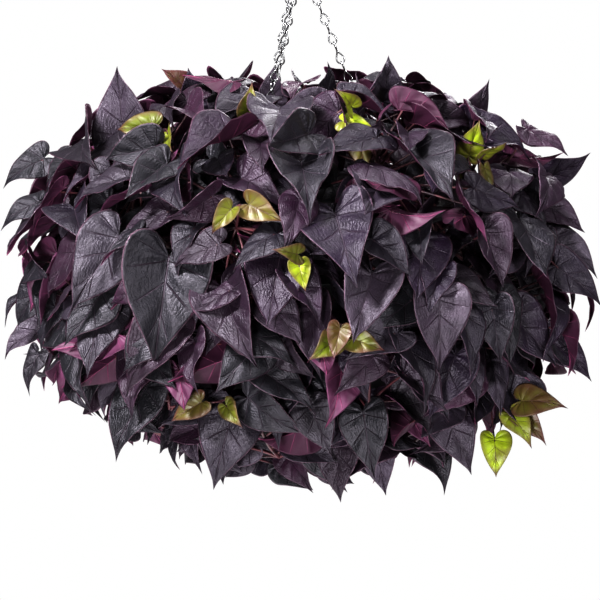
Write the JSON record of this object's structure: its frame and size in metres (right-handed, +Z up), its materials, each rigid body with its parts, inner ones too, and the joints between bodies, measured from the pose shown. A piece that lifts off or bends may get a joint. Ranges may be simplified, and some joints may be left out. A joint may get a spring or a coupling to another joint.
{
  "type": "potted hanging sweet potato vine",
  "caption": "Sweet potato vine with dark heart-shaped leaves in a hanging basket on three chains and a hook.",
  "frame": {"origin": "inside the crown of the hook's crook, where the basket bears on what it hangs from", "axes": "+Z up along the hook's shank, -Y towards the viewer of the plant's front, +X to the viewer's right"},
  "size_m": [0.707, 0.6869, 0.7132],
  "materials": {
    "dark_leaf": "satin living leaf, purple-black above and magenta below",
    "young_leaf": "satin young leaf, chartreuse with bronze edges",
    "chain_steel": "zinc-plated wire",
    "pot_plastic": "moulded",
    "soil_mix": "loose potting mix"
  },
  "bodies": {
    "root": {"chain_left_back": "chain_steel", "chain_left_front": "chain_steel", "chain_right": "chain_steel", "crown_vine_1": "dark_leaf", "crown_vine_2": "dark_leaf", "crown_vine_3": "dark_leaf", "crown_vine_4": "dark_leaf", "crown_vine_5": "dark_leaf", "crown_vine_6": "dark_leaf", "hanger_hook": "chain_steel", "pot": "pot_plastic", "rim_clip_left_back": "chain_steel", "rim_clip_left_front": "chain_steel", "rim_clip_right": "chain_steel", "shoulder_vine_1": "dark_leaf", "shoulder_vine_2": "dark_leaf", "shoulder_vine_3": "dark_leaf", "shoulder_vine_4": "dark_leaf", "shoulder_vine_5": "dark_leaf", "shoulder_vine_6": "dark_leaf", "shoulder_vine_7": "dark_leaf", "shoulder_vine_8": "dark_leaf", "shoulder_vine_9": "dark_leaf", "soil": "soil_mix", "trailing_vine_1": "dark_leaf", "trailing_vine_10": "dark_leaf", "trailing_vine_11": "dark_leaf", "trailing_vine_12": "dark_leaf", "trailing_vine_2": "dark_leaf", "trailing_vine_3": "dark_leaf", "trailing_vine_4": "dark_leaf", "trailing_vine_5": "dark_leaf", "trailing_vine_6": "dark_leaf", "trailing_vine_7": "dark_leaf", "trailing_vine_8": "dark_leaf", "trailing_vine_9": "dark_leaf", "young_shoot_1": "young_leaf", "young_shoot_10": "young_leaf", "young_shoot_11": "young_leaf", "young_shoot_2": "young_leaf", "young_shoot_3": "young_leaf", "young_shoot_4": "young_leaf", "young_shoot_5": "young_leaf", "young_shoot_6": "young_leaf", "young_shoot_7": "young_leaf", "young_shoot_8": "young_leaf", "young_shoot_9": "young_leaf"}
  },
  "joints": []
}
